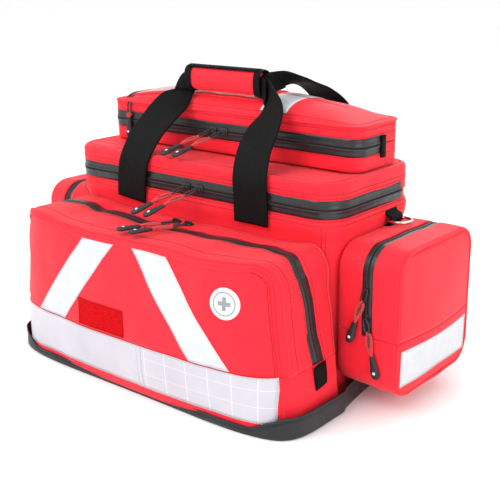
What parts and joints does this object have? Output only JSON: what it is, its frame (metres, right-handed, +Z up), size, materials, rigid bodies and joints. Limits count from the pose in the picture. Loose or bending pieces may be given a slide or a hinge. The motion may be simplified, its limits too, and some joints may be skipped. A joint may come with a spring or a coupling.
{
  "type": "trauma backpack",
  "caption": "Three-tier red trauma bag with zipped lid, front and side pockets, carry handles joined by a padded grip, reflective bands and a rear harness.",
  "frame": {"origin": "on the ground under the middle of the base tray", "axes": "+Z up, front pocket faces -Y, +X to the right seen from the front"},
  "size_m": [0.5986, 0.3484, 0.373],
  "materials": {
    "shell_fabric": "coated woven polyamide, bright red, slight sheen",
    "loop_fabric": "hook-and-loop panel, fuzzy dark red",
    "divider_fabric": "brushed loop nylon over foam",
    "tray_tarpaulin": "charcoal coated tarpaulin, satin, wiped clean",
    "zip_tape": "charcoal water-repellent zip tape with a glossy coat",
    "webbing": "black ribbed polyamide webbing",
    "reflective": "silver-white retroreflective tape",
    "badge_rubber": "soft white moulded badge",
    "window_vinyl": "clear flexible vinyl",
    "slider_metal": "black-nickel zip slider",
    "pull_plastic": "charcoal moulded tab on a red cord",
    "ring_metal": "nickel-plated steel",
    "board_plastic": "black polyethylene sheet",
    "pad_fabric": "black spacer mesh over foam"
  },
  "bodies": {
    "bag": {"base_tray": "tray_tarpaulin", "base_board": "board_plastic", "body_shell": "shell_fabric", "main_zip_lower": "zip_tape", "divider_left": "divider_fabric", "divider_right": "divider_fabric", "pocket_bucket": "shell_fabric", "pocket_gusset": "shell_fabric", "front_zip_inner": "zip_tape", "base_band": "reflective", "right_pocket_bucket": "shell_fabric", "left_pocket_bucket": "shell_fabric", "right_pocket_band": "reflective", "left_pocket_band": "reflective", "right_ring_tab": "webbing", "left_ring_tab": "webbing", "shoulder_strap_right": "pad_fabric", "shoulder_strap_left": "pad_fabric", "lower_strap_right": "webbing", "lower_strap_left": "webbing", "back_pad": "pad_fabric"},
    "lid": {"lid_shell": "shell_fabric", "main_zip_upper": "zip_tape", "top_pocket_tray": "shell_fabric", "top_zip_lower": "zip_tape"},
    "top_lid": {"top_pocket_lid": "shell_fabric", "top_zip_upper": "zip_tape", "window_panel": "window_vinyl", "top_band": "reflective"},
    "front_panel": {"front_pocket_panel": "shell_fabric", "front_zip_outer": "zip_tape", "chevron_left": "reflective", "chevron_right": "reflective", "loop_patch": "loop_fabric", "badge": "badge_rubber"},
    "right_flap": {"right_pocket_flap": "shell_fabric"},
    "left_flap": {"left_pocket_flap": "shell_fabric"},
    "front_carry": {"front_handle": "webbing", "grip_wrap": "shell_fabric"},
    "rear_carry": {"rear_handle": "webbing"},
    "right_ring": {"right_d_ring": "ring_metal"},
    "left_ring": {"left_d_ring": "ring_metal"},
    "window_tag": {"window_pull": "pull_plastic"},
    "main_runner_left": {"main_slider_left": "slider_metal"},
    "main_tag_left": {"main_pull_left": "pull_plastic"},
    "main_runner_right": {"main_slider_right": "slider_metal"},
    "main_tag_right": {"main_pull_right": "pull_plastic"},
    "top_runner_left": {"top_slider_left": "slider_metal"},
    "top_tag_left": {"top_pull_left": "pull_plastic"},
    "top_runner_right": {"top_slider_right": "slider_metal"},
    "top_tag_right": {"top_pull_right": "pull_plastic"},
    "front_runner_left": {"front_slider_left": "slider_metal"},
    "front_tag_left": {"front_pull_left": "pull_plastic"},
    "front_runner_right": {"front_slider_right": "slider_metal"},
    "front_tag_right": {"front_pull_right": "pull_plastic"},
    "right_runner_upper": {"right_zip_pull_upper": "pull_plastic"},
    "right_runner_lower": {"right_zip_pull_lower": "pull_plastic"},
    "left_runner_upper": {"left_zip_pull_upper": "pull_plastic"},
    "left_runner_lower": {"left_zip_pull_lower": "pull_plastic"}
  },
  "joints": [
    {"name": "lid_open", "type": "hinge", "parent": "bag", "child": "lid", "pos_m": [0, 0.1475, 0.235], "axis": [-1, 0, 0], "range_deg": [0, 85]},
    {"name": "front_handle_swing", "type": "hinge", "parent": "bag", "child": "front_carry", "pos_m": [0, -0.0395, 0.203], "axis": [1, 0, 0], "range_deg": [0, 92]},
    {"name": "rear_handle_swing", "type": "hinge", "parent": "bag", "child": "rear_carry", "pos_m": [0, 0.1555, 0.203], "axis": [-1, 0, 0], "range_deg": [0, 98]},
    {"name": "top_pocket_open", "type": "hinge", "parent": "lid", "child": "top_lid", "pos_m": [0, 0.1265, 0.295], "axis": [-1, 0, 0], "range_deg": [0, 3]},
    {"name": "front_pocket_open", "type": "hinge", "parent": "bag", "child": "front_panel", "pos_m": [0, -0.1585, 0.072], "axis": [1, 0, 0], "range_deg": [0, 85]},
    {"name": "right_pocket_open", "type": "hinge", "parent": "bag", "child": "right_flap", "pos_m": [0.301, 0, 0.097], "axis": [0, 1, 0], "range_deg": [0, 85]},
    {"name": "left_pocket_open", "type": "hinge", "parent": "bag", "child": "left_flap", "pos_m": [-0.301, 0, 0.097], "axis": [0, -1, 0], "range_deg": [0, 85]},
    {"name": "right_ring_swing", "type": "hinge", "parent": "bag", "child": "right_ring", "pos_m": [0.2208, 0.0895, 0.204], "axis": [0, -1, 0], "range_deg": [0, 75]},
    {"name": "left_ring_swing", "type": "hinge", "parent": "bag", "child": "left_ring", "pos_m": [-0.2208, 0.0895, 0.204], "axis": [0, 1, 0], "range_deg": [0, 75]},
    {"name": "main_slider_left_run", "type": "slide", "parent": "bag", "child": "main_runner_left", "axis": [-1, 0, 0], "range_m": [0, 0.045]},
    {"name": "main_pull_left_swing", "type": "hinge", "parent": "main_runner_left", "child": "main_tag_left", "pos_m": [-0.004, -0.0423, 0.235], "axis": [-1, 0, 0], "range_deg": [0, 60]},
    {"name": "main_slider_right_run", "type": "slide", "parent": "bag", "child": "main_runner_right", "axis": [1, 0, 0], "range_m": [0, 0.045]},
    {"name": "main_pull_right_swing", "type": "hinge", "parent": "main_runner_right", "child": "main_tag_right", "pos_m": [0.017, -0.0423, 0.235], "axis": [-1, 0, 0], "range_deg": [0, 60]},
    {"name": "top_slider_left_run", "type": "slide", "parent": "lid", "child": "top_runner_left", "axis": [-1, 0, 0], "range_m": [0, 0.02]},
    {"name": "top_pull_left_swing", "type": "hinge", "parent": "top_runner_left", "child": "top_tag_left", "pos_m": [-0.016, 0.0217, 0.295], "axis": [-1, 0, 0], "range_deg": [0, 55]},
    {"name": "top_slider_right_run", "type": "slide", "parent": "lid", "child": "top_runner_right", "axis": [1, 0, 0], "range_m": [0, 0.05]},
    {"name": "top_pull_right_swing", "type": "hinge", "parent": "top_runner_right", "child": "top_tag_right", "pos_m": [0.003, 0.0217, 0.295], "axis": [-1, 0, 0], "range_deg": [0, 55]},
    {"name": "front_slider_left_run", "type": "slide", "parent": "front_panel", "child": "front_runner_left", "axis": [-1, 0, 0], "range_m": [0, 0.035]},
    {"name": "front_pull_left_swing", "type": "hinge", "parent": "front_runner_left", "child": "front_tag_left", "pos_m": [0.01, -0.076, 0.2011], "axis": [-1, 0, 0], "range_deg": [0, 70]},
    {"name": "front_slider_right_run", "type": "slide", "parent": "front_panel", "child": "front_runner_right", "axis": [1, 0, 0], "range_m": [0, 0.035]},
    {"name": "front_pull_right_swing", "type": "hinge", "parent": "front_runner_right", "child": "front_tag_right", "pos_m": [0.03, -0.076, 0.2011], "axis": [-1, 0, 0], "range_deg": [0, 70]},
    {"name": "right_zip_upper_run", "type": "slide", "parent": "bag", "child": "right_runner_upper", "axis": [0, 0, 1], "range_m": [0, 0.014]},
    {"name": "right_zip_lower_run", "type": "slide", "parent": "bag", "child": "right_runner_lower", "axis": [0, 0, 1], "range_m": [0, 0.008]},
    {"name": "left_zip_upper_run", "type": "slide", "parent": "bag", "child": "left_runner_upper", "axis": [0, 0, 1], "range_m": [0, 0.014]},
    {"name": "left_zip_lower_run", "type": "slide", "parent": "bag", "child": "left_runner_lower", "axis": [0, 0, 1], "range_m": [0, 0.008]},
    {"name": "window_pull_swing", "type": "hinge", "parent": "top_lid", "child": "window_tag", "pos_m": [-0.166, 0.028, 0.318], "axis": [-1, 0, 0], "range_deg": [0, 70]}
  ],
  "couplings": [
    {"joint": "front_handle_swing", "follows": "lid_open", "ratio": 1.08},
    {"joint": "rear_handle_swing", "follows": "lid_open", "ratio": 1.15}
  ]
}
